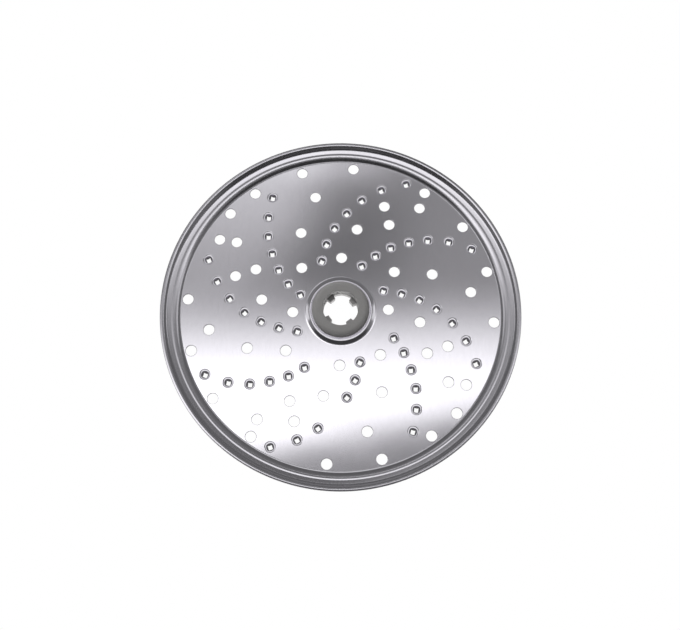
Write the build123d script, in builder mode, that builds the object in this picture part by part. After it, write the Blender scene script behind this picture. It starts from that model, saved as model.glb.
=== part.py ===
"""Grating disc of a food processor: a pressed steel disc carried by a moulded plastic drive hub.

Millimetres, +Z up. The origin is on the axis of the disc, on the underside of the hub, which is
the lowest part of the disc as it lies. The hollow side of the disc faces up, with the mouths of
the pierced burrs, and the cutting edges of the burrs point down.
"""

import os
from math import atan2, cos, degrees, radians, sin, tan

from build123d import *

# Steel sheet, with a rounded step up from the face, a land, and a second step up to the lip
SHEET = 0.7
DISC_RADIUS = 87.5
STEP_WIDTH = 3.4
STEP_SLOPE = 50
STEP_FACET = 25
LAND_WIDTH = 2.7
LAND_RISE = 0.2
LIP_STEP_WIDTH = 1.9
LIP_STEP_RISE = 1.3
LIP_WIDTH = 1.5

# Collar drawn up round the hub
COLLAR_RADIUS = 14.3
COLLAR_HEIGHT = 2.5
COLLAR_BEND = 2.3
COLLAR_FACET = 45

# Rings of holes, spaced evenly between the collar and the step
TRACK_COUNT = 28
INNER_MARGIN = 4.75
OUTER_MARGIN = 3.7

# Pierced burrs: the angles of each arm from the inside out, repeated half a turn on
ARM_COUNT = 4
ARM_ANGLES = (
    (157.5, 152, 145.5, 139, 133, 126.5, 120),
    (26, 16, 8, 1, -6.5, -14, -22),
    (65.5, 58.5, 52.5, 46, 40, 33.5, 26),
    (110, 101.5, 94, 86.5, 79.5, 72, 63.5),
)
# Tracks that carry no burr on the second half turn
BARE_TRACKS = (0, 2, 15)
OPENING = 1.8
BURR_WALL = 0.25
BURR_TAPER = 17
BURR_HEIGHT = 2.1
BURR_TURN = 45

# Round holes: a track and its angle, repeated half a turn on
DRAIN_RADIUS = 2.65
DRAIN_ANGLES = {
    1: 1.5,
    3: 89,
    4: 131,
    6: 37,
    9: 171.5,
    11: 79,
    12: 116,
    13: 153,
    14: 22.5,
    15: 61.5,
    17: 161,
    19: 68,
    20: 102,
    21: 145.5,
    22: 8.5,
    23: 53.5,
    25: 148.5,
}
OUTER_DRAIN_EDGE = 0.6
OUTER_DRAIN_ANGLES = (-4.5, 15.5, 35.5, 55.5, 85, 105, 125, 137.5)

# Hub
BORE_RADIUS = 8.6
BORE_STEP = 0.2
HUB_OVER_COLLAR = 2.9
SHOULDER_ROUND = 2.6
SHOULDER_FACET = 45
BRIM_OVERLAP = 0.35
FLANGE_RADIUS = 18.2
FLANGE_THICKNESS = 2.3
FIT_GAP = 0.05

# Drive lugs in the bore
LUG_COUNT = 4
LUG_ANGLE = 37
LUG_REACH = 2.3
LUG_ROOT = 1.0
LUG_TIP_WIDTH = 2.9
LUG_ROOT_WIDTH = 4.4
LUG_DEPTH = 4.3

# Heights worked out from the sizes above
sheet_bottom = FLANGE_THICKNESS + FIT_GAP
face_top = sheet_bottom + SHEET
collar_top = face_top + COLLAR_HEIGHT
hub_top = collar_top + HUB_OVER_COLLAR
burr_tip = sheet_bottom - BURR_HEIGHT
lug_top = hub_top - LUG_DEPTH

# Radii worked out from the sizes above
lip_radius = DISC_RADIUS - LIP_WIDTH
trough_radius = lip_radius - LIP_STEP_WIDTH
land_radius = trough_radius - LAND_WIDTH
face_radius = land_radius - STEP_WIDTH
first_track = COLLAR_RADIUS + COLLAR_BEND + INNER_MARGIN
track_step = (face_radius - OUTER_MARGIN - first_track) / (TRACK_COUNT - 1)
outer_drain_radius = face_radius - OUTER_DRAIN_EDGE - DRAIN_RADIUS


def arc_points(centre, radius, start, end, facet):
    """Points along an arc in a section, with chords of about one facet's angle in degrees."""
    chords = max(1, round(abs(end - start) / facet))
    angles = [radians(start + (end - start) * chord / chords) for chord in range(chords + 1)]
    return [(centre[0] + radius * cos(angle), centre[1] + radius * sin(angle)) for angle in angles]


def track_radius(track):
    """The radius of a ring of holes, counted outwards from nought."""
    return first_track + track * track_step


def half_turn_pair(radius, angle):
    """A place at a radius and an angle, and the one half a turn on, each with X pointing outwards."""
    return [Location((0, 0, 0), (0, 0, angle + turn)) * Location((radius, 0, 0)) for turn in (0, 180)]


def burr_places():
    """The place of every pierced burr."""
    places = []
    for arm, angles in enumerate(ARM_ANGLES):
        for step, angle in enumerate(angles):
            track = arm + step * ARM_COUNT
            first, second = half_turn_pair(track_radius(track), angle)
            places.append(first)
            if track not in BARE_TRACKS:
                places.append(second)
    return places


def drain_places():
    """The place of every round hole."""
    places = []
    for track, angle in DRAIN_ANGLES.items():
        places += half_turn_pair(track_radius(track), angle)
    for angle in OUTER_DRAIN_ANGLES:
        places += half_turn_pair(outer_drain_radius, angle)
    return places


os.makedirs("parts", exist_ok=True)

# One burr under the sheet, a four-sided spike with a corner pointing away from the centre
with BuildPart() as burr:
    with BuildSketch(Plane.XY.offset(burr_tip)):
        Rectangle(OPENING + 2 * BURR_WALL, OPENING + 2 * BURR_WALL, rotation=BURR_TURN)
    extrude(amount=sheet_bottom + SHEET / 2 - burr_tip)
    draft(burr.faces().filter_by(Axis.Z, reverse=True), Plane.XY.offset(burr_tip), -BURR_TAPER)

# The throat that the punch leaves in a burr, from the face down to the cutting edges
with BuildPart() as throat:
    with BuildSketch(Plane.XY.offset(burr_tip)):
        Rectangle(OPENING, OPENING, rotation=BURR_TURN)
    extrude(amount=face_top - burr_tip)
    draft(throat.faces().filter_by(Axis.Z, reverse=True), Plane.XY.offset(burr_tip), -BURR_TAPER)

# The section of the steel disc, from the collar over the face and the steps to the lip
collar_bend_centre = (COLLAR_RADIUS + COLLAR_BEND, face_top + COLLAR_BEND)
step_round = STEP_WIDTH / sin(radians(STEP_SLOPE))
step_centre = (land_radius, face_top - step_round * cos(radians(STEP_SLOPE)))
step_lean = SHEET * tan(radians(STEP_SLOPE / 2))
land_top = step_centre[1] + step_round
land_lean = SHEET * tan(atan2(LAND_RISE, LAND_WIDTH) / 2)
trough_top = land_top + LAND_RISE
trough_lean = SHEET * tan((atan2(LAND_RISE, LAND_WIDTH) + atan2(LIP_STEP_RISE, LIP_STEP_WIDTH)) / 2)
lip_top = trough_top + LIP_STEP_RISE
lip_lean = SHEET * tan(atan2(LIP_STEP_RISE, LIP_STEP_WIDTH) / 2)
upper_side = [
    (COLLAR_RADIUS, collar_top),
    *arc_points(collar_bend_centre, COLLAR_BEND, 180, 270, COLLAR_FACET),
    *arc_points(step_centre, step_round, 90 + STEP_SLOPE, 90, STEP_FACET),
    (trough_radius, trough_top),
    (lip_radius, lip_top),
    (DISC_RADIUS, lip_top),
]
lower_side = [
    (DISC_RADIUS, lip_top - SHEET),
    (lip_radius + lip_lean, lip_top - SHEET),
    (trough_radius + trough_lean, trough_top - SHEET),
    (land_radius + land_lean, land_top - SHEET),
    *arc_points(step_centre, step_round - SHEET, 90, 90 + STEP_SLOPE, STEP_FACET)[1:],
    (face_radius + step_lean, sheet_bottom),
    *arc_points(collar_bend_centre, COLLAR_BEND + SHEET, 270, 180, COLLAR_FACET),
    (COLLAR_RADIUS - SHEET, collar_top),
]
with BuildPart() as grating_disc:
    with BuildSketch(Plane.XZ):
        with BuildLine():
            Polyline(*upper_side, *lower_side, close=True)
        make_face()
    revolve(axis=Axis.Z)
    with Locations(*burr_places()):
        add(burr.part)
    with Locations(*burr_places()):
        add(throat.part, mode=Mode.SUBTRACT)
    with BuildSketch(Plane.XY.offset(sheet_bottom)):
        with Locations(*drain_places()):
            Circle(DRAIN_RADIUS)
    extrude(amount=SHEET, mode=Mode.SUBTRACT)
grating_disc.part.label = "grating_disc"
export_step(grating_disc.part, "parts/grating_disc.step")

# The moulded hub: a bush through the collar, held by a brim above it and a flange under the sheet
waist_radius = COLLAR_RADIUS - SHEET - FIT_GAP
brim_radius = COLLAR_RADIUS - SHEET + BRIM_OVERLAP
shoulder_centre = (brim_radius - SHOULDER_ROUND, hub_top - SHOULDER_ROUND)
drive_radius = BORE_RADIUS - BORE_STEP
with BuildPart() as hub:
    with BuildSketch(Plane.XZ):
        with BuildLine():
            Polyline(
                (drive_radius, 0),
                (FLANGE_RADIUS, 0),
                (FLANGE_RADIUS, FLANGE_THICKNESS),
                (waist_radius, FLANGE_THICKNESS),
                (waist_radius, collar_top),
                (brim_radius, collar_top),
                *arc_points(shoulder_centre, SHOULDER_ROUND, 0, 90, SHOULDER_FACET),
                (BORE_RADIUS, hub_top),
                (BORE_RADIUS, lug_top),
                (drive_radius, lug_top),
                close=True,
            )
        make_face()
    revolve(axis=Axis.Z)
    with BuildSketch():
        with PolarLocations(BORE_RADIUS, LUG_COUNT, start_angle=LUG_ANGLE):
            Polygon(
                (LUG_ROOT, -LUG_ROOT_WIDTH / 2),
                (LUG_ROOT, LUG_ROOT_WIDTH / 2),
                (-LUG_REACH, LUG_TIP_WIDTH / 2),
                (-LUG_REACH, -LUG_TIP_WIDTH / 2),
                align=None,
            )
    extrude(amount=lug_top)
hub.part.label = "hub"
export_step(hub.part, "parts/hub.step")
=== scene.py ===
"""Looks of the grating disc: a pressed steel disc on a moulded hub, lit on a white table.

Metres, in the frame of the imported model. Sizes are written in millimetres and scaled once.
"""

import logging
import math
from collections.abc import Callable, Iterator, Sequence
from contextlib import contextmanager
from dataclasses import dataclass
from enum import Enum

import bmesh
import bpy
from mathutils import Matrix, Vector


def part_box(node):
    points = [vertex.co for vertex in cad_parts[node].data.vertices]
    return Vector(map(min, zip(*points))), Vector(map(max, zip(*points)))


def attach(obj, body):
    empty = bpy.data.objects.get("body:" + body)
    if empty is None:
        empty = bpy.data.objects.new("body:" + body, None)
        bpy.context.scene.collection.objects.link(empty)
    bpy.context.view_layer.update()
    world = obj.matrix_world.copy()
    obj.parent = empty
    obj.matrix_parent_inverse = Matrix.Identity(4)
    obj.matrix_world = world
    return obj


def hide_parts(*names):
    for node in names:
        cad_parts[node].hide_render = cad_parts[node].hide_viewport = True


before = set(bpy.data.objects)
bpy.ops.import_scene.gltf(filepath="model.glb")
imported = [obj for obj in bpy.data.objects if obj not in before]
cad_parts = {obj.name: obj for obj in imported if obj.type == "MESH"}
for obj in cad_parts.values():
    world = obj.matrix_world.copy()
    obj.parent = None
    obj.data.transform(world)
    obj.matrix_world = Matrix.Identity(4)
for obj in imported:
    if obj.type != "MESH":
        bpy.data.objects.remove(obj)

LOG = logging.getLogger("grating_disc")
MM = 0.001
FULL_TURN = 2 * math.pi
QUARTER_TURN = FULL_TURN / 4
EIGHTH_TURN = FULL_TURN / 8
HALF_TURN_DEGREES = 180.0
MERGE_DISTANCE = 0.002 * MM
# Edges sharper than this stay crisp when a surface is smoothed
SMOOTH_ANGLE = math.radians(35)
# The bevel profile that makes a bend round
ROUND_PROFILE = 0.5
# A face looks along an axis if its normal's share there is above this
FACING = 0.5
# A face lies level if its normal's upright share is above this
LEVEL = 0.99999
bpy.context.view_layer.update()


class Pick(Enum):
    """What edit mode selects."""

    VERTICES = "VERT"
    EDGES = "EDGE"
    FACES = "FACE"


class Join(Enum):
    """How one solid works on another."""

    CUT = "DIFFERENCE"
    FUSE = "UNION"


def select_only(piece: bpy.types.Object) -> None:
    """Select and activate one object and nothing else.

    Args:
        piece: The object to work on.
    """
    bpy.ops.object.select_all(action="DESELECT")
    piece.select_set(True)
    bpy.context.view_layer.objects.active = piece


@contextmanager
def editing(piece: bpy.types.Object, pick: Pick) -> Iterator[None]:
    """Work on one object in edit mode with nothing selected in it.

    Args:
        piece: The object to edit.
        pick: What is selected while editing.

    Yields:
        Nothing, in edit mode.
    """
    select_only(piece)
    bpy.ops.object.mode_set(mode="EDIT")
    bpy.ops.mesh.select_mode(type=pick.value)
    bpy.ops.mesh.select_all(action="DESELECT")
    yield
    bpy.ops.object.mode_set(mode="OBJECT")


def pick_vertices(piece: bpy.types.Object, wanted: Callable[[Vector], bool]) -> None:
    """Select vertices by their place, in edit mode.

    Args:
        piece: The object being edited.
        wanted: Says whether a vertex at a place is selected.
    """
    mesh = bmesh.from_edit_mesh(piece.data)
    for vertex in mesh.verts:
        vertex.select_set(wanted(vertex.co))
    mesh.select_flush_mode()
    bmesh.update_edit_mesh(piece.data)


def pick_faces(piece: bpy.types.Object, wanted: Callable[[Vector, Vector], bool]) -> None:
    """Select faces by their middle and normal, in edit mode.

    Args:
        piece: The object being edited.
        wanted: Says whether a face with a middle and a normal is selected.
    """
    mesh = bmesh.from_edit_mesh(piece.data)
    for face in mesh.faces:
        face.select_set(wanted(face.calc_center_median(), face.normal))
    mesh.select_flush_mode()
    bmesh.update_edit_mesh(piece.data)


def new_piece(name: str) -> bpy.types.Object:
    """Take the primitive that was just added as a piece, with its place in its mesh.

    Args:
        name: The piece's name.

    Returns:
        The piece.
    """
    piece = bpy.context.active_object
    piece.name = name
    piece.data.name = name
    bpy.ops.object.transform_apply(location=True, rotation=True, scale=True)
    return piece


def trace(name: str, points: Sequence[Vector]) -> bpy.types.Object:
    """Draw a line through points by extruding one vertex.

    Args:
        name: The name of the new object.
        points: The places that the line goes through.

    Returns:
        An object with the line's edges, its last vertex selected.
    """
    bpy.ops.object.select_all(action="DESELECT")
    bpy.ops.mesh.primitive_plane_add(size=MM, location=points[0])
    line = new_piece(name)
    with editing(line, Pick.VERTICES):
        bpy.ops.mesh.select_all(action="SELECT")
        bpy.ops.mesh.merge(type="CENTER")
        for here, there in zip(points, points[1:]):
            bpy.ops.mesh.extrude_region_move(TRANSFORM_OT_translate={"value": there - here})
    return line


@dataclass(frozen=True)
class Bend:
    """How far along each side of a corner its bend starts, and the number of chords in it."""

    reach: float = 0.0
    chords: int = 8


SHARP = Bend()


def round_corner(line: bpy.types.Object, corner: Vector, bend: Bend) -> None:
    """Round one corner of a line.

    Args:
        line: The object with the line.
        corner: The corner's place.
        bend: The bend that the corner gets.
    """
    with editing(line, Pick.VERTICES):
        pick_vertices(line, lambda place: (place - corner).length < MERGE_DISTANCE)
        bpy.ops.mesh.bevel(
            offset=bend.reach,
            offset_type="OFFSET",
            segments=bend.chords,
            affect="VERTICES",
            profile=ROUND_PROFILE,
        )


def turn_round(line: bpy.types.Object, steps: int) -> None:
    """Spin a line round the axis into a surface that closes on itself.

    Args:
        line: The object with the line, in the XZ plane.
        steps: The number of steps in the full turn.
    """
    with editing(line, Pick.VERTICES):
        bpy.ops.mesh.select_all(action="SELECT")
        bpy.ops.mesh.spin(steps=steps, angle=FULL_TURN, center=(0, 0, 0), axis=(0, 0, 1))
        bpy.ops.mesh.select_all(action="SELECT")
        bpy.ops.mesh.remove_doubles(threshold=MERGE_DISTANCE)
        bpy.ops.mesh.normals_make_consistent(inside=False)


@dataclass(frozen=True)
class Corner:
    """One corner of a section: its place and its bend."""

    radius: float
    height: float
    bend: Bend = SHARP

    @property
    def place(self) -> Vector:
        """The corner's place in the XZ plane."""
        return Vector((self.radius, 0, self.height))

    def heading(self, other: "Corner") -> float:
        """Find the angle of the line from this corner to another one.

        Args:
            other: The corner that the line goes to.

        Returns:
            The angle over the level, in radians.
        """
        return math.atan2(other.height - self.height, other.radius - self.radius)


def lower_side(upper: Sequence[Corner], sheet: float) -> list[Corner]:
    """Find the corners of a bent sheet's lower side from those of its upper side.

    Args:
        upper: The upper side's corners, with the sheet on the right of the line.
        sheet: The sheet's thickness.

    Returns:
        The lower side's corners in the same order, with bends that keep the thickness even.
    """
    headings = [here.heading(there) for here, there in zip(upper, upper[1:])]
    before = [headings[0], *headings]
    after = [*headings, headings[-1]]
    lower = []
    for corner, arriving, leaving in zip(upper, before, after):
        middle = (arriving + leaving) / 2
        half_turn = (leaving - arriving) / 2
        stretch = sheet / math.cos(half_turn)
        reach = max(0.0, corner.bend.reach + sheet * math.tan(half_turn))
        lower.append(
            Corner(
                corner.radius + stretch * math.sin(middle),
                corner.height - stretch * math.cos(middle),
                Bend(reach, corner.bend.chords),
            )
        )
    return lower


def spin_section(name: str, corners: Sequence[Corner], steps: int) -> bpy.types.Object:
    """Draw a closed section, round its corners and spin it round the axis.

    Args:
        name: The new piece's name.
        corners: The section's corners in order.
        steps: The number of steps in the full turn.

    Returns:
        The spun solid.
    """
    places = [corner.place for corner in corners]
    ends = (places[0], places[-1])
    piece = trace(name, places)
    with editing(piece, Pick.VERTICES):
        pick_vertices(piece, lambda spot: any((spot - end).length < MERGE_DISTANCE for end in ends))
        bpy.ops.mesh.edge_face_add()
    for corner in corners:
        if corner.bend.reach:
            round_corner(piece, corner.place, corner.bend)
    turn_round(piece, steps)
    return piece


def combine(piece: bpy.types.Object, tool: bpy.types.Object, join: Join) -> None:
    """Cut a piece with a tool or fuse the two, and remove the tool.

    Args:
        piece: The piece that is kept.
        tool: The solid that works on it.
        join: Whether the tool cuts or is added.
    """
    select_only(piece)
    modifier = piece.modifiers.new(join.name.lower(), "BOOLEAN")
    modifier.operation = join.value
    modifier.solver = "EXACT"
    modifier.object = tool
    bpy.ops.object.modifier_apply(modifier=modifier.name)
    bpy.data.objects.remove(tool)


def copies(model: bpy.types.Object, places: Sequence[Matrix]) -> bpy.types.Object:
    """Repeat a model at places, each copy with its own mesh, joined into one object.

    Args:
        model: The piece that repeats, which is used up.
        places: Where the copies go.

    Returns:
        The joined copies.
    """
    made = []
    for place in places:
        copy = model.copy()
        copy.data = model.data.copy()
        copy.data.transform(place)
        bpy.context.collection.objects.link(copy)
        made.append(copy)
    bpy.data.objects.remove(model)
    select_only(made[0])
    for copy in made:
        copy.select_set(True)
    bpy.ops.object.join()
    return made[0]


class NodeDesk:
    """Places and links the nodes of one tree."""

    def __init__(self, tree: bpy.types.NodeTree) -> None:
        """Start on a tree.

        Args:
            tree: The node tree to fill.
        """
        self.tree = tree

    def add(self, kind: str, **settings: object) -> bpy.types.Node:
        """Add a node.

        Args:
            kind: The node's type.
            settings: Values for the node's own settings.

        Returns:
            The new node.
        """
        node = self.tree.nodes.new(kind)
        for name, value in settings.items():
            setattr(node, name, value)
        return node

    def feed(self, node: bpy.types.Node, socket: str | int, source: object) -> None:
        """Link a socket to an output, or set its value.

        Args:
            node: The node that is fed.
            socket: The input's name or number.
            source: An output socket, or a value.
        """
        if isinstance(source, bpy.types.NodeSocket):
            self.tree.links.new(source, node.inputs[socket])
        else:
            node.inputs[socket].default_value = source

    def sum(self, operation: str, first: object, second: object = 0.0) -> bpy.types.NodeSocket:
        """Work out a sum of two values.

        Args:
            operation: The kind of sum.
            first: An output socket or a number.
            second: An output socket or a number.

        Returns:
            The result's socket.
        """
        node = self.add("ShaderNodeMath", operation=operation)
        self.feed(node, 0, first)
        self.feed(node, 1, second)
        return node.outputs[0]

    def fade(
        self, value: object, start: float, end: float, low: object = 0.0, high: object = 1.0
    ) -> bpy.types.NodeSocket:
        """Go smoothly from one value to another while an input goes from start to end.

        Args:
            value: The input's socket.
            start: The input at which the fade starts.
            end: The input at which it ends.
            low: The result before the start.
            high: The result after the end.

        Returns:
            The result's socket.
        """
        node = self.add("ShaderNodeMapRange", interpolation_type="SMOOTHSTEP")
        for socket, source in enumerate((value, start, end, low, high)):
            self.feed(node, socket, source)
        return node.outputs[0]


GRAIN_DETAIL = 3.0
SMUDGE_DETAIL = 4.0
# Most of a noise's values lie between these two
NOISE_RANGE = (0.35, 0.65)


def grain_group() -> bpy.types.NodeTree:
    """Make the group that both finishes use for their fine unevenness.

    Returns:
        A group with the inputs Scale, Stretch and Smudge Scale, and the outputs Grain and Smudge.
    """
    name = "surface grain"
    if name in bpy.data.node_groups:
        return bpy.data.node_groups[name]
    group = bpy.data.node_groups.new(name, "ShaderNodeTree")
    for label, kind in (("Scale", "Float"), ("Stretch", "Vector"), ("Smudge Scale", "Float")):
        group.interface.new_socket(label, in_out="INPUT", socket_type=f"NodeSocket{kind}")
    for label in ("Grain", "Smudge"):
        group.interface.new_socket(label, in_out="OUTPUT", socket_type="NodeSocketFloat")
    desk = NodeDesk(group)
    values = desk.add("NodeGroupInput")
    result = desk.add("NodeGroupOutput")
    place = desk.add("ShaderNodeTexCoord").outputs["Object"]
    mapping = desk.add("ShaderNodeMapping")
    desk.feed(mapping, "Vector", place)
    desk.feed(mapping, "Scale", values.outputs["Stretch"])
    grain = desk.add("ShaderNodeTexNoise")
    desk.feed(grain, "Vector", mapping.outputs[0])
    desk.feed(grain, "Scale", values.outputs["Scale"])
    desk.feed(grain, "Detail", GRAIN_DETAIL)
    smudge = desk.add("ShaderNodeTexNoise")
    desk.feed(smudge, "Vector", place)
    desk.feed(smudge, "Scale", values.outputs["Smudge Scale"])
    desk.feed(smudge, "Detail", SMUDGE_DETAIL)
    desk.feed(result, "Grain", grain.outputs[0])
    desk.feed(result, "Smudge", smudge.outputs[0])
    return group


@dataclass(frozen=True)
class Finish:
    """A surface: its colour, gloss, grain and slow waves, and past a radius a rougher gloss and a
    darker colour, which is painted shade.
    """

    name: str
    color: tuple[float, float, float]
    roughness: float
    roughness_spread: float
    grain_scale: float
    grain_stretch: tuple[float, float, float]
    grain_depth: float
    smudge_scale: float
    smudge_depth: float
    tone_spread: float
    metallic: float
    # Past the radius below, the roughness rises and the colour is darkened by the tone below; the
    # darkening is painted shade
    worn_and_shaded_radius: float = 1.0
    worn_roughness: float = 0.0
    rim_shade_tone: float = 1.0

    def material(self) -> bpy.types.Material:
        """Make the material.

        Returns:
            The finished material.
        """
        material = bpy.data.materials.new(self.name)
        material.use_nodes = True
        desk = NodeDesk(material.node_tree)
        shader = material.node_tree.nodes["Principled BSDF"]
        shader.inputs["Metallic"].default_value = self.metallic
        grain = desk.add("ShaderNodeGroup", node_tree=grain_group())
        desk.feed(grain, "Scale", self.grain_scale)
        desk.feed(grain, "Stretch", self.grain_stretch)
        desk.feed(grain, "Smudge Scale", self.smudge_scale)
        self.shade(desk, shader, grain)
        self.relief(desk, shader, grain)
        return material

    def shade(self, desk: NodeDesk, shader: bpy.types.Node, grain: bpy.types.Node) -> None:
        """Give the colour and the roughness their slight unevenness, and past the radius a rougher
        gloss and a darker colour that is painted shade.

        Args:
            desk: The material's nodes.
            shader: The surface shader.
            grain: The grain group's node.
        """
        low, high = NOISE_RANGE
        rough = desk.fade(
            grain.outputs["Smudge"],
            low,
            high,
            self.roughness - self.roughness_spread,
            self.roughness + self.roughness_spread,
        )
        tone = desk.add("ShaderNodeMix", data_type="RGBA")
        desk.feed(tone, "Factor", desk.fade(grain.outputs["Grain"], low, high))
        desk.feed(tone, "A", (*((1 - self.tone_spread) * part for part in self.color), 1))
        desk.feed(tone, "B", (*((1 + self.tone_spread) * part for part in self.color), 1))
        color = tone.outputs["Result"]
        if self.worn_roughness:
            worn_and_shaded = self.worn_and_shaded_share(desk)
            rough = desk.sum("ADD", rough, desk.sum("MULTIPLY", worn_and_shaded, self.worn_roughness))
            # Darken the colour past the radius: painted shade on the rim
            rim_shade = desk.add("ShaderNodeMix", data_type="RGBA", blend_type="MULTIPLY")
            desk.feed(rim_shade, "Factor", worn_and_shaded)
            desk.feed(rim_shade, "A", color)
            desk.feed(rim_shade, "B", (self.rim_shade_tone, self.rim_shade_tone, self.rim_shade_tone, 1))
            color = rim_shade.outputs["Result"]
        desk.feed(shader, "Roughness", rough)
        desk.feed(shader, "Base Color", color)

    def worn_and_shaded_share(self, desk: NodeDesk) -> bpy.types.NodeSocket:
        """Find the share of rougher gloss and painted shade, from none inside the radius to all
        outside it.

        Args:
            desk: The material's nodes.

        Returns:
            The share's socket.
        """
        flat = desk.add("ShaderNodeVectorMath", operation="MULTIPLY")
        desk.feed(flat, 0, desk.add("ShaderNodeTexCoord").outputs["Object"])
        flat.inputs[1].default_value = (1, 1, 0)
        radius = desk.add("ShaderNodeVectorMath", operation="LENGTH")
        desk.feed(radius, 0, flat.outputs[0])
        return desk.fade(radius.outputs["Value"], self.worn_and_shaded_radius, self.worn_and_shaded_radius + MM)

    def relief(self, desk: NodeDesk, shader: bpy.types.Node, grain: bpy.types.Node) -> None:
        """Give the surface its slight waves and its fine grain.

        Args:
            desk: The material's nodes.
            shader: The surface shader.
            grain: The grain group's node.
        """
        waves = desk.add("ShaderNodeBump")
        waves.inputs["Strength"].default_value = 1.0
        waves.inputs["Distance"].default_value = self.smudge_depth
        desk.feed(waves, "Height", grain.outputs["Smudge"])
        fine = desk.add("ShaderNodeBump")
        fine.inputs["Strength"].default_value = 1.0
        fine.inputs["Distance"].default_value = self.grain_depth
        desk.feed(fine, "Height", grain.outputs["Grain"])
        desk.feed(fine, "Normal", waves.outputs[0])
        desk.feed(shader, "Normal", fine.outputs[0])


ROLLED_STEEL = Finish(
    name="rolled_steel",
    color=(0.66, 0.645, 0.69),
    roughness=0.13,
    roughness_spread=0.02,
    grain_scale=900.0,
    grain_stretch=(1.0, 0.3, 1.0),
    grain_depth=0.00006 * MM,
    smudge_scale=16.0,
    smudge_depth=0.03 * MM,
    tone_spread=0.012,
    metallic=1.0,
    # Past this radius the rim's steel is a little rougher and its colour darkened, which is painted
    # shade
    worn_and_shaded_radius=77.7 * MM,
    worn_roughness=0.02,
    rim_shade_tone=0.71,
)
MOULDED_PLASTIC = Finish(
    name="moulded_plastic",
    color=(0.235, 0.23, 0.228),
    roughness=0.5,
    roughness_spread=0.06,
    grain_scale=2200.0,
    grain_stretch=(1.0, 1.0, 1.0),
    grain_depth=0.02 * MM,
    smudge_scale=150.0,
    smudge_depth=0.02 * MM,
    tone_spread=0.04,
    metallic=0.0,
)


@dataclass(frozen=True)
class PunchRing:
    """One ring of points round a punched opening: its size, its height over the face, its form."""

    radius: float
    height: float
    squareness: float = 0.0
    torn: bool = False


@dataclass
class PunchedPatch:
    """A round patch of the sheet with an opening punched through it."""

    sheet: float = 0.7 * MM
    patch_radius: float = 3.0 * MM
    points: int = 32

    def rings(self) -> list[PunchRing]:
        """List the rings from the face through the opening and back out on the underside.

        Returns:
            The rings in order, after the first one in the face.
        """
        raise NotImplementedError

    def point(self, ring: PunchRing, angle: float) -> Vector:
        """Find one point of a ring.

        Args:
            ring: The ring.
            angle: The point's angle.

        Returns:
            The point's place.
        """
        return Vector((ring.radius * math.cos(angle), ring.radius * math.sin(angle), ring.height))

    def build(self) -> bpy.types.Object:
        """Model one patch with its face on the XY plane, round the origin.

        Returns:
            The patch.
        """
        bpy.ops.object.select_all(action="DESELECT")
        bpy.ops.mesh.primitive_circle_add(vertices=self.points, radius=self.patch_radius)
        patch = new_piece("patch")
        with editing(patch, Pick.EDGES):
            bpy.ops.mesh.select_all(action="SELECT")
            for ring in self.rings():
                bpy.ops.mesh.extrude_region_move()
                mesh = bmesh.from_edit_mesh(patch.data)
                for vertex in mesh.verts:
                    if vertex.select:
                        vertex.co = self.point(ring, math.atan2(vertex.co.y, vertex.co.x))
                bmesh.update_edit_mesh(patch.data)
            bpy.ops.mesh.select_all(action="SELECT")
            bpy.ops.mesh.normals_make_consistent(inside=False)
        return patch

    def plug(self, height: float) -> bpy.types.Object:
        """Make the tool that cuts the room for one patch.

        Args:
            height: The plug's height, half above and half below the XY plane.

        Returns:
            The tool.
        """
        bpy.ops.object.select_all(action="DESELECT")
        bpy.ops.mesh.primitive_cylinder_add(
            vertices=self.points, radius=self.patch_radius, depth=height
        )
        return new_piece("plug")


@dataclass
class DrainHole(PunchedPatch):
    """A plain round hole, its upper edge drawn in by the punch."""

    patch_radius: float = 2.98 * MM
    points: int = 48
    radius: float = 2.65 * MM
    edge: float = 0.2 * MM
    edge_steps: int = 4
    tear: float = 0.05 * MM

    def rings(self) -> list[PunchRing]:
        """List the rings over the rounded edge, down the wall and out on the underside.

        Returns:
            The rings in order, after the first one in the face.
        """
        rings = []
        for step in range(self.edge_steps + 1):
            angle = QUARTER_TURN * step / self.edge_steps
            radius = self.radius + self.edge * (1 - math.sin(angle))
            rings.append(PunchRing(radius, -self.edge * (1 - math.cos(angle))))
        rings.append(PunchRing(self.radius, self.tear - self.sheet))
        rings.append(PunchRing(self.radius + self.tear, -self.sheet))
        rings.append(PunchRing(self.patch_radius, -self.sheet))
        return rings


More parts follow.
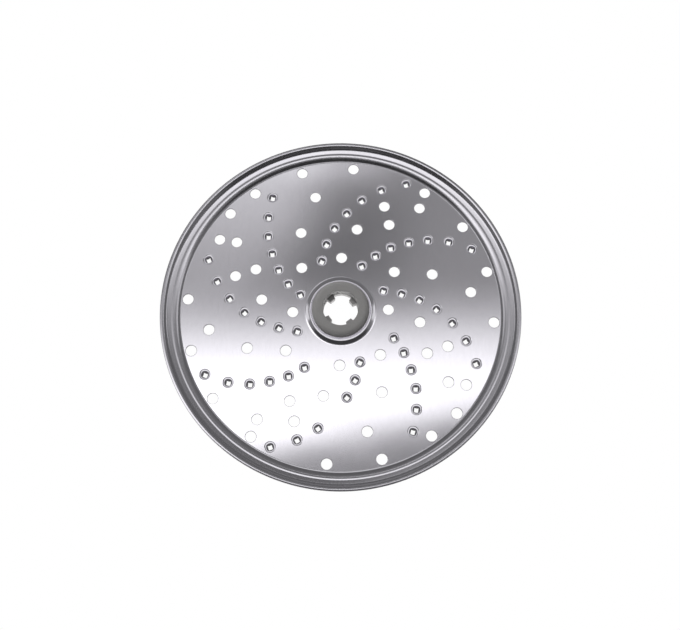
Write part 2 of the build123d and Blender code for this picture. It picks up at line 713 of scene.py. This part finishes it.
@dataclass
class PiercedBurr(PunchedPatch):
    """A hole pierced by a four-sided punch: a dimpled mouth, a square throat and torn edges.

    The mouth lists radii and depths under the face. The outside lists, from the tip up, shares of
    the height under the sheet, shares of the way from the tip to the root, and squareness.
    """

    mouth: tuple[tuple[float, float], ...] = (
        (2.75 * MM, 0.0),
        (2.65 * MM, 0.015 * MM),
        (2.55 * MM, 0.06 * MM),
        (2.35 * MM, 0.19 * MM),
        (2.15 * MM, 0.325 * MM),
        (1.95 * MM, 0.465 * MM),
        (1.85 * MM, 0.57 * MM),
        (1.77 * MM, 0.75 * MM),
    )
    outside: tuple[tuple[float, float, float], ...] = (
        (0.35, 0.3, 0.8),
        (0.7, 0.55, 0.5),
        (0.92, 0.78, 0.2),
    )
    depth: float = 2.8 * MM
    opening: float = 1.8 * MM
    taper: float = math.radians(17)
    edge: float = 0.1 * MM
    root_radius: float = 2.7 * MM
    notch: float = 0.7 * MM
    notch_width: float = math.radians(22.5)
    mouth_squareness: float = 0.25
    wall_steps: int = 3

    def throat(self, height: float) -> float:
        """Find half the throat's side at a height.

        Args:
            height: The height over the face, which is below nought in the throat.

        Returns:
            Half the side.
        """
        return self.opening / 2 + (height + self.depth) * math.tan(self.taper)

    def rings(self) -> list[PunchRing]:
        """List the rings from the mouth down the throat, round the edge and up the outside.

        Returns:
            The rings in order, after the first one in the face.
        """
        rings = []
        for step, (radius, drop) in enumerate(self.mouth):
            share = step / (len(self.mouth) - 1)
            rings.append(PunchRing(radius, -drop, self.mouth_squareness * share))
        mouth_end = rings[-1]
        for step in range(1, self.wall_steps + 1):
            share = step / self.wall_steps
            height = mouth_end.height + (-self.depth - mouth_end.height) * share
            radius = mouth_end.radius - (mouth_end.height - height) * math.tan(self.taper)
            squareness = self.mouth_squareness + (1 - self.mouth_squareness) * share
            rings.append(PunchRing(radius, height, squareness, torn=step == self.wall_steps))
        tip = rings[-1]
        rings.append(PunchRing(tip.radius + self.edge, -self.depth, 1.0, torn=True))
        for share, spread, squareness in self.outside:
            height = -self.depth + (self.depth - self.sheet) * share
            radius = tip.radius + (self.root_radius - tip.radius) * spread
            rings.append(PunchRing(radius, height, squareness))
        rings.append(PunchRing(self.root_radius, -self.sheet))
        rings.append(PunchRing(self.patch_radius, -self.sheet))
        return rings

    def point(self, ring: PunchRing, angle: float) -> Vector:
        """Find one point of a ring.

        Args:
            ring: The ring.
            angle: The point's angle, where nought is a corner of the square.

        Returns:
            The point's place.
        """
        side = (angle + EIGHTH_TURN) % QUARTER_TURN - EIGHTH_TURN
        half = self.throat(ring.height) + (self.edge if ring.torn else 0.0)
        square = half / math.cos(EIGHTH_TURN - abs(side))
        radius = (1 - ring.squareness) * ring.radius + ring.squareness * square
        height = ring.height
        if ring.torn:
            height += self.notch * max(0.0, 1 - abs(side) / self.notch_width)
        return Vector((radius * math.cos(angle), radius * math.sin(angle), height))


@dataclass
class GratingDisc:
    """The pressed steel disc, with its collar, face, steps and lip.

    The tracks are rings, counted outwards, that the openings lie on. Each arm of burrs takes every
    fourth track, and all but the bare tracks are repeated half a turn on. Angles are in degrees.
    The plugs that cut the room for the patches are plug_sheets thick, and their walls are found
    within plug_reach of a patch's radius.
    """

    radius: float
    burr: PiercedBurr
    drain: DrainHole
    sheet: float = 0.7 * MM
    underside: float = 2.35 * MM
    collar_radius: float = 14.3 * MM
    collar_height: float = 2.5 * MM
    collar_foot: float = 17.1 * MM
    collar_slope: float = math.radians(18)
    collar_edge: Bend = Bend(0.2 * MM, 4)
    collar_bend: Bend = Bend(1.2 * MM, 14)
    foot_bend: Bend = Bend(0.5 * MM, 8)
    face_bend: Bend = Bend(0.12 * MM, 4)
    step_width: float = 4.2 * MM
    step_rise: float = 1.517 * MM
    step_slope: float = math.radians(36)
    step_bend: Bend = Bend(1.95 * MM, 16)
    crest_slope: float = math.radians(3)
    crest_bend: Bend = Bend(0.3 * MM, 6)
    land_width: float = 2.1 * MM
    land_rise: float = 0.466 * MM
    trough_bend: Bend = Bend(0.5 * MM, 10)
    lip_step_width: float = 1.75 * MM
    lip_step_rise: float = 1.102 * MM
    lip_bend: Bend = Bend(0.7 * MM, 10)
    lip_width: float = 1.45 * MM
    lip_edge: Bend = Bend(0.2 * MM, 5)
    drain_edge: float = 0.6 * MM
    inner_margin: float = 7.05 * MM
    outer_margin: float = 3.7 * MM
    track_count: int = 28
    steps: int = 240
    plug_sheets: float = 4.0
    plug_reach: float = 1.02
    arm_angles: tuple[tuple[float, ...], ...] = (
        (157.5, 152, 145.5, 139, 133, 126.5, 120),
        (26, 16, 8, 1, -6.5, -14, -22),
        (65.5, 58.5, 52.5, 46, 40, 33.5, 26),
        (110, 101.5, 94, 86.5, 79.5, 72, 63.5),
    )
    bare_tracks: tuple[int, ...] = (0, 2, 15)
    drain_angles: tuple[tuple[int, float], ...] = (
        (1, 1.5),
        (3, 89),
        (4, 131),
        (6, 37),
        (9, 171.5),
        (11, 79),
        (12, 116),
        (13, 153),
        (14, 22.5),
        (15, 61.5),
        (17, 161),
        (19, 68),
        (20, 102),
        (21, 145.5),
        (22, 8.5),
        (23, 53.5),
        (25, 148.5),
    )
    outer_drain_angles: tuple[float, ...] = (-4.5, 15.5, 35.5, 55.5, 85, 105, 125, 137.5)

    @property
    def face_top(self) -> float:
        """The height of the face's upper side."""
        return self.underside + self.sheet

    @property
    def face_radius(self) -> float:
        """The radius at which the face ends and the step starts."""
        trough_radius = self.radius - self.lip_width - self.lip_step_width
        return trough_radius - self.land_width - self.step_width

    def track_radius(self, track: int) -> float:
        """Find the radius of a track.

        Args:
            track: The track's number, from nought.

        Returns:
            The radius.
        """
        first = self.collar_radius + self.inner_margin
        span = self.face_radius - self.outer_margin - first
        return first + span * track / (self.track_count - 1)

    def place(self, radius: float, angle: float) -> Matrix:
        """Find a place on the face, with X pointing outwards.

        Args:
            radius: The distance from the axis.
            angle: The angle round the axis, in degrees.

        Returns:
            The place.
        """
        turn = Matrix.Rotation(math.radians(angle), 4, "Z")
        return turn @ Matrix.Translation((radius, 0, self.face_top))

    def burr_places(self) -> list[Matrix]:
        """List the places of all burrs.

        Returns:
            The places, arm by arm.
        """
        places = []
        for arm, angles in enumerate(self.arm_angles):
            for step, angle in enumerate(angles):
                track = arm + step * len(self.arm_angles)
                radius = self.track_radius(track)
                places.append(self.place(radius, angle))
                if track not in self.bare_tracks:
                    places.append(self.place(radius, angle + HALF_TURN_DEGREES))
        return places

    def drain_places(self) -> list[Matrix]:
        """List the places of all round holes.

        Returns:
            The places, each with the one half a turn on.
        """
        rings = [(self.track_radius(track), angle) for track, angle in self.drain_angles]
        outer = self.face_radius - self.drain_edge - self.drain.radius
        rings += [(outer, angle) for angle in self.outer_drain_angles]
        turns = (0.0, HALF_TURN_DEGREES)
        return [self.place(radius, angle + turn) for radius, angle in rings for turn in turns]

    def upper_side(self) -> list[Corner]:
        """List the corners of the sheet's upper side, from the collar to the lip.

        Returns:
            The corners in order.
        """
        foot_rate, crest_rate = math.tan(self.step_slope), math.tan(self.crest_slope)
        climb = (self.step_rise - self.step_width * crest_rate) / (foot_rate - crest_rate)
        crest = Vector((self.face_radius + climb, self.face_top + climb * foot_rate))
        land_top = self.face_top + self.step_rise
        lip_top = land_top + self.land_rise + self.lip_step_rise
        lip_start = self.radius - self.lip_width
        trough = lip_start - self.lip_step_width
        cone_rate = math.tan(self.collar_slope)
        cone_top = self.face_top + (self.collar_foot - self.collar_radius) * cone_rate
        return [
            Corner(self.collar_radius, self.face_top + self.collar_height, self.collar_edge),
            Corner(self.collar_radius, cone_top, self.collar_bend),
            Corner(self.collar_foot, self.face_top, self.foot_bend),
            Corner(self.face_radius, self.face_top, self.face_bend),
            Corner(crest.x, crest.y, self.step_bend),
            Corner(trough - self.land_width, land_top, self.crest_bend),
            Corner(trough, land_top + self.land_rise, self.trough_bend),
            Corner(lip_start, lip_top, self.lip_bend),
            Corner(self.radius, lip_top, self.lip_edge),
        ]

    def press(self) -> bpy.types.Object:
        """Spin the section of the sheet.

        Returns:
            The disc before it is pierced.
        """
        upper = self.upper_side()
        lower = lower_side(upper, self.sheet)
        return spin_section("grating_disc_fine", [*upper, *reversed(lower)], self.steps)

    def pierce(self, sheet: bpy.types.Object) -> None:
        """Cut out a round patch for every opening and set the punched patches in.

        Args:
            sheet: The pressed disc.
        """
        height = self.plug_sheets * self.sheet
        kinds = ((self.drain, self.drain_places()), (self.burr, self.burr_places()))
        spots = []
        for patch, places in kinds:
            combine(sheet, copies(patch.plug(height), places), Join.CUT)
            reach = self.plug_reach * patch.patch_radius
            spots += [(place.translation.xy, reach) for place in places]
        with editing(sheet, Pick.FACES):
            pick_faces(
                sheet,
                lambda middle, normal: abs(normal.z) < FACING
                and any((middle.xy - spot).length < near for spot, near in spots),
            )
            bpy.ops.mesh.delete(type="FACE")
        patches = [copies(patch.build(), places) for patch, places in kinds]
        select_only(sheet)
        for patch in patches:
            patch.select_set(True)
        bpy.ops.object.join()
        with editing(sheet, Pick.VERTICES):
            bpy.ops.mesh.select_all(action="SELECT")
            bpy.ops.mesh.remove_doubles(threshold=MERGE_DISTANCE)

    def smooth(self, sheet: bpy.types.Object) -> None:
        """Smooth the bends and keep the flat faces flat.

        Args:
            sheet: The pierced disc.
        """
        select_only(sheet)
        bpy.ops.object.shade_smooth_by_angle(angle=SMOOTH_ANGLE)
        with editing(sheet, Pick.FACES):
            pick_faces(
                sheet,
                lambda middle, normal: abs(normal.z) > LEVEL
                and middle.xy.length < self.face_radius,
            )
            bpy.ops.mesh.faces_shade_flat()

    def build(self) -> bpy.types.Object:
        """Model the whole disc.

        Returns:
            The disc.
        """
        sheet = self.press()
        self.pierce(sheet)
        self.smooth(sheet)
        return sheet

    def dress(self, sheet: bpy.types.Object, finish: Finish) -> None:
        """Give the disc its finish and put it in its CAD node's place.

        Args:
            sheet: The disc.
            finish: Its finish.
        """
        sheet.data.materials.clear()
        sheet.data.materials.append(finish.material())
        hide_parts("grating_disc")
        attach(sheet, "root")


@dataclass
class DriveHub:
    """The moulded hub, with its flange, its waist in the collar, its brim and its drive lugs."""

    top: float
    flange_radius: float
    waist_radius: float = 13.55 * MM
    brim_radius: float = 13.95 * MM
    brim_bottom: float = 5.55 * MM
    bore_radius: float = 8.6 * MM
    bore_step: float = 0.2 * MM
    flange_thickness: float = 2.3 * MM
    lug_count: int = 4
    lug_angle: float = 37.0
    lug_reach: float = 2.3 * MM
    lug_root: float = 1.0 * MM
    lug_tip_width: float = 2.9 * MM
    lug_root_width: float = 4.4 * MM
    lug_depth: float = 4.3 * MM
    lug_edge: Bend = Bend(0.25 * MM, 3)
    edge: Bend = Bend(0.25 * MM, 8)
    shoulder: Bend = Bend(2.6 * MM, 12)
    steps: int = 128

    def bush(self) -> bpy.types.Object:
        """Spin the hub's section.

        Returns:
            The hub without its lugs.
        """
        drive_radius = self.bore_radius - self.bore_step
        lug_top = self.top - self.lug_depth
        section = [
            Corner(drive_radius, 0.0, self.edge),
            Corner(self.flange_radius, 0.0, self.edge),
            Corner(self.flange_radius, self.flange_thickness, self.edge),
            Corner(self.waist_radius, self.flange_thickness),
            Corner(self.waist_radius, self.brim_bottom),
            Corner(self.brim_radius, self.brim_bottom),
            Corner(self.brim_radius, self.top, self.shoulder),
            Corner(self.bore_radius, self.top, self.edge),
            Corner(self.bore_radius, lug_top),
            Corner(drive_radius, lug_top),
        ]
        return spin_section("hub_fine", section, self.steps)

    def lug(self) -> bpy.types.Object:
        """Model one lug, from a block drawn in towards its tip.

        Returns:
            The lug, on the X axis.
        """
        length = self.lug_root + self.lug_reach
        height = self.top - self.lug_depth
        middle = Vector((self.bore_radius + (self.lug_root - self.lug_reach) / 2, 0, height / 2))
        bpy.ops.object.select_all(action="DESELECT")
        bpy.ops.mesh.primitive_cube_add(
            size=1, location=middle, scale=(length, self.lug_root_width, height)
        )
        lug = new_piece("lug")
        narrowing = self.lug_tip_width / self.lug_root_width
        with editing(lug, Pick.FACES):
            pick_faces(lug, lambda spot, normal: normal.x < -FACING)
            bpy.ops.transform.resize(value=(1, narrowing, 1), center_override=middle)
        with editing(lug, Pick.EDGES):
            pick_vertices(lug, lambda spot: spot.x < middle.x)
            bpy.ops.mesh.bevel(
                offset=self.lug_edge.reach, segments=self.lug_edge.chords, affect="EDGES"
            )
        return lug

    def build(self) -> bpy.types.Object:
        """Model the whole hub.

        Returns:
            The hub.
        """
        hub = self.bush()
        turns = [
            Matrix.Rotation(math.radians(self.lug_angle) + FULL_TURN * lug / self.lug_count, 4, "Z")
            for lug in range(self.lug_count)
        ]
        combine(hub, copies(self.lug(), turns), Join.FUSE)
        select_only(hub)
        bpy.ops.object.shade_smooth_by_angle(angle=SMOOTH_ANGLE)
        return hub

    def dress(self, hub: bpy.types.Object, finish: Finish) -> None:
        """Give the hub its finish and put it in its CAD node's place.

        Args:
            hub: The hub.
            finish: Its finish.
        """
        hub.data.materials.clear()
        hub.data.materials.append(finish.material())
        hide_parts("hub")
        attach(hub, "root")


@dataclass(frozen=True)
class LightPatch:
    """A soft-edged patch of light or shade, in millimetres on the face that mirrors it.

    Across runs to the right and along runs away from the camera. The two leans slant the near
    edge and the sides. The fades are how wide the near edge, the far edge and the sides are.
    """

    strength: float
    across: tuple[float, float] = (-400.0, 400.0)
    along: tuple[float, float] = (-400.0, 400.0)
    near_lean: float = 0.0
    side_lean: float = 0.0
    near_fade: float = 16.0
    far_fade: float = 16.0
    side_fade: float = 40.0

    def light(
        self, desk: NodeDesk, across: bpy.types.NodeSocket, along: bpy.types.NodeSocket
    ) -> bpy.types.NodeSocket:
        """Work out the patch's light at a place.

        Args:
            desk: The light's nodes.
            across: Millimetres to the right.
            along: Millimetres away from the camera.

        Returns:
            The strength's socket.
        """
        side = desk.sum("SUBTRACT", across, desk.sum("MULTIPLY", along, self.side_lean))
        near = desk.sum("SUBTRACT", along, desk.sum("MULTIPLY", across, self.near_lean))
        edges = (
            (side, self.across[0], self.side_fade),
            (side, self.across[1], -self.side_fade),
            (near, self.along[0], self.near_fade),
            (along, self.along[1], -self.far_fade),
        )
        light: object = self.strength
        for value, edge, fade in edges:
            share = desk.fade(value, edge - fade / 2, edge + fade / 2)
            light = desk.sum("MULTIPLY", light, share)
        return light


BANK_LEVEL = 0.24
BANK_PATCHES = (
    # The bright strip across the near half of the face
    LightPatch(1.9, (-130, 130), (-60.5, -15), near_lean=0.19, far_fade=58, side_fade=60),
    # The pale left and far left, the pale right and the dark gap between them
    LightPatch(0.28, (-110, -46), (2, 76), side_lean=0.5, near_fade=50),
    LightPatch(0.28, (-100, -12), (38, 84), near_fade=40),
    LightPatch(0.11, (30, 120), (0, 80)),
    LightPatch(-0.05, (-20, 30), (20, 65), near_fade=20),
    # The near edge of the face, paler on the left
    LightPatch(0.03, (-120, 120), (-100, -55)),
    LightPatch(0.11, (-120, 10), (-100, -55)),
    # The glint along the far edge
    LightPatch(0.8, (-70, 25), (72, 90), near_fade=12, far_fade=8, side_fade=40),
    # The dark of the camera's side
    LightPatch(-0.19, (-180, 180), (-400, -105)),
    # The side lights that the collar mirrors
    LightPatch(0.80, (-300, -140), (-45, 60)),
    LightPatch(0.80, (140, 300), (-45, 60)),
)


@dataclass
class Studio:
    """The white table, the light bank over it, the walls round it, the key light and the camera.

    The bank's shift and spread turn a place on it into the place on the face that mirrors it. The
    walls go from bright to dim over the horizon's fade, lower on the far side by the lean and lower
    at the sides by the drop. The camera's sizes in pixels are those of the photograph.
    """

    table_size: float = 8.0
    table_gap: float = 0.05 * MM
    bank_height: float = 0.6
    bank_size: float = 1.02
    bank_middle: float = 0.09
    bank_shift: float = 0.169
    bank_spread: float = 2.2415
    horizon_light: float = 1.15
    horizon_lean: float = 0.25
    horizon_drop: float = 0.1
    horizon_fade: tuple[float, float] = (0.49, 0.6)
    wall_light: float = 0.2
    key_place: Vector = Vector((-0.25, 0.32, 0.45))
    key_size: float = 0.25
    key_power: float = 2.1
    table_glow: float = 6.3
    table_mirrored: float = 0.12
    table_below: float = 0.6
    camera_distance: float = 0.5
    camera_elevation: float = math.radians(74.21)
    look_at: Vector = Vector((0, 0, 2.7 * MM))
    image_width: int = 680
    image_height: int = 630
    focal_pixels: float = 1025.9
    target_pixel: tuple[float, float] = (340.6, 310.90)
    sensor: float = 36.0

    def table(self) -> None:
        """Lay the table: white to the eye, dim in the steel and clear from below."""
        bpy.ops.object.select_all(action="DESELECT")
        bpy.ops.mesh.primitive_plane_add(size=self.table_size, location=(0, 0, -self.table_gap))
        table = new_piece("table")
        material = bpy.data.materials.new("white_table")
        material.use_nodes = True
        tree = material.node_tree
        desk = NodeDesk(tree)
        tree.nodes.remove(tree.nodes["Principled BSDF"])
        rays = desk.add("ShaderNodeLightPath")
        glow = desk.add("ShaderNodeEmission")
        level = desk.fade(rays.outputs["Is Diffuse Ray"], 0, 1, 1.0, self.table_glow)
        level = desk.fade(rays.outputs["Is Glossy Ray"], 0, 1, level, self.table_mirrored)
        level = desk.fade(rays.outputs["Transparent Depth"], 0, 1, level, self.table_below)
        desk.feed(glow, "Strength", level)
        clear = desk.add("ShaderNodeBsdfTransparent")
        side = desk.add("ShaderNodeMixShader")
        desk.feed(side, 0, desk.add("ShaderNodeNewGeometry").outputs["Backfacing"])
        desk.feed(side, 1, glow.outputs[0])
        desk.feed(side, 2, clear.outputs[0])
        desk.feed(tree.nodes["Material Output"], "Surface", side.outputs[0])
        table.data.materials.append(material)

    def light_bank(self) -> None:
        """Hang the bank over the table, with the patches of light that the steel mirrors."""
        bpy.ops.object.select_all(action="DESELECT")
        middle = (0, self.bank_middle, self.bank_height)
        bpy.ops.mesh.primitive_plane_add(size=self.bank_size, location=middle)
        bank = new_piece("light_bank")
        material = bpy.data.materials.new("soft_light")
        material.use_nodes = True
        tree = material.node_tree
        desk = NodeDesk(tree)
        tree.nodes.remove(tree.nodes["Principled BSDF"])
        axes = desk.add("ShaderNodeSeparateXYZ")
        desk.feed(axes, 0, desk.add("ShaderNodeTexCoord").outputs["Object"])
        across = desk.sum("DIVIDE", axes.outputs[0], self.bank_spread * MM)
        along = desk.sum("SUBTRACT", axes.outputs[1], self.bank_shift)
        along = desk.sum("DIVIDE", along, self.bank_spread * MM)
        glow = desk.add("ShaderNodeEmission")
        desk.feed(glow, "Strength", self.bank_strength(desk, across, along))
        desk.feed(tree.nodes["Material Output"], "Surface", glow.outputs[0])
        bank.data.materials.append(material)
        bank.visible_camera = False
        bank.visible_shadow = False

    def bank_strength(
        self, desk: NodeDesk, across: bpy.types.NodeSocket, along: bpy.types.NodeSocket
    ) -> bpy.types.NodeSocket:
        """Work out the bank's light at a place, as it shows in the face's mirror image.

        Args:
            desk: The light's nodes.
            across: Millimetres to the right on the face.
            along: Millimetres away from the camera on the face.

        Returns:
            The strength's socket.
        """
        level: object = BANK_LEVEL
        for patch in BANK_PATCHES:
            level = desk.sum("ADD", level, patch.light(desk, across, along))
        return level

    def walls(self) -> None:
        """Set the walls: bright near the table and dim above in the steel, and white to the eye."""
        world = bpy.data.worlds.new("studio_walls")
        bpy.context.scene.world = world
        world.use_nodes = True
        tree = world.node_tree
        desk = NodeDesk(tree)
        axes = desk.add("ShaderNodeSeparateXYZ")
        desk.feed(axes, 0, desk.add("ShaderNodeTexCoord").outputs["Generated"])
        lean = desk.sum("MULTIPLY", axes.outputs[1], self.horizon_lean)
        sides = desk.sum("MULTIPLY", axes.outputs[0], axes.outputs[0])
        sides = desk.sum("MULTIPLY", sides, self.horizon_drop)
        height = desk.sum("ADD", axes.outputs[2], desk.sum("ADD", lean, sides))
        start, end = self.horizon_fade
        light = desk.fade(height, start, end, self.horizon_light, self.wall_light)
        rays = desk.add("ShaderNodeLightPath")
        light = desk.fade(rays.outputs["Is Diffuse Ray"], 0, 1, light, self.wall_light)
        seen = desk.sum("MAXIMUM", light, rays.outputs["Is Camera Ray"])
        desk.feed(tree.nodes["Background"], "Color", (1, 1, 1, 1))
        desk.feed(tree.nodes["Background"], "Strength", seen)

    def key_light(self) -> None:
        """Hang the soft key light on the far left, which lights the plastic and isn't mirrored."""
        aim = (self.look_at - self.key_place).to_track_quat("-Z", "Y").to_euler()
        bpy.ops.object.light_add(type="AREA", location=self.key_place, rotation=aim)
        light = bpy.context.active_object
        light.name = "key_light"
        light.data.size = self.key_size
        light.data.energy = self.key_power
        light.visible_glossy = False

    def camera(self) -> None:
        """Set the camera at the photograph's angle and framing."""
        data = bpy.data.cameras.new("camera")
        data.sensor_fit = "HORIZONTAL"
        data.sensor_width = self.sensor
        data.lens = self.focal_pixels * self.sensor / self.image_width
        data.shift_x = (self.image_width / 2 - self.target_pixel[0]) / self.image_width
        data.shift_y = (self.target_pixel[1] - self.image_height / 2) / self.image_width
        camera = bpy.data.objects.new("camera", data)
        bpy.context.scene.collection.objects.link(camera)
        back = Vector((0, -math.cos(self.camera_elevation), math.sin(self.camera_elevation)))
        camera.location = self.look_at + back * self.camera_distance
        camera.rotation_euler = (QUARTER_TURN - self.camera_elevation, 0, 0)
        bpy.context.scene.camera = camera

    def build(self) -> None:
        """Set up the whole studio."""
        self.table()
        self.light_bank()
        self.walls()
        self.key_light()
        self.camera()
        bpy.context.scene.view_settings.view_transform = "Standard"


def report(piece: bpy.types.Object) -> None:
    """Log one finished piece with its count of faces.

    Args:
        piece: The piece.
    """
    LOG.info("%s: %d faces", piece.name, len(piece.data.polygons))


def main() -> None:
    """Build the pieces in order and light them."""
    logging.basicConfig(level=logging.INFO, format="%(name)s: %(message)s")
    _, disc_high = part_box("grating_disc")
    _, hub_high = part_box("hub")
    disc = GratingDisc(radius=disc_high.x, burr=PiercedBurr(), drain=DrainHole())
    sheet = disc.build()
    disc.dress(sheet, ROLLED_STEEL)
    report(sheet)
    hub = DriveHub(top=hub_high.z, flange_radius=hub_high.x)
    bush = hub.build()
    hub.dress(bush, MOULDED_PLASTIC)
    report(bush)
    Studio().build()


if __name__ == "__main__":
    main()
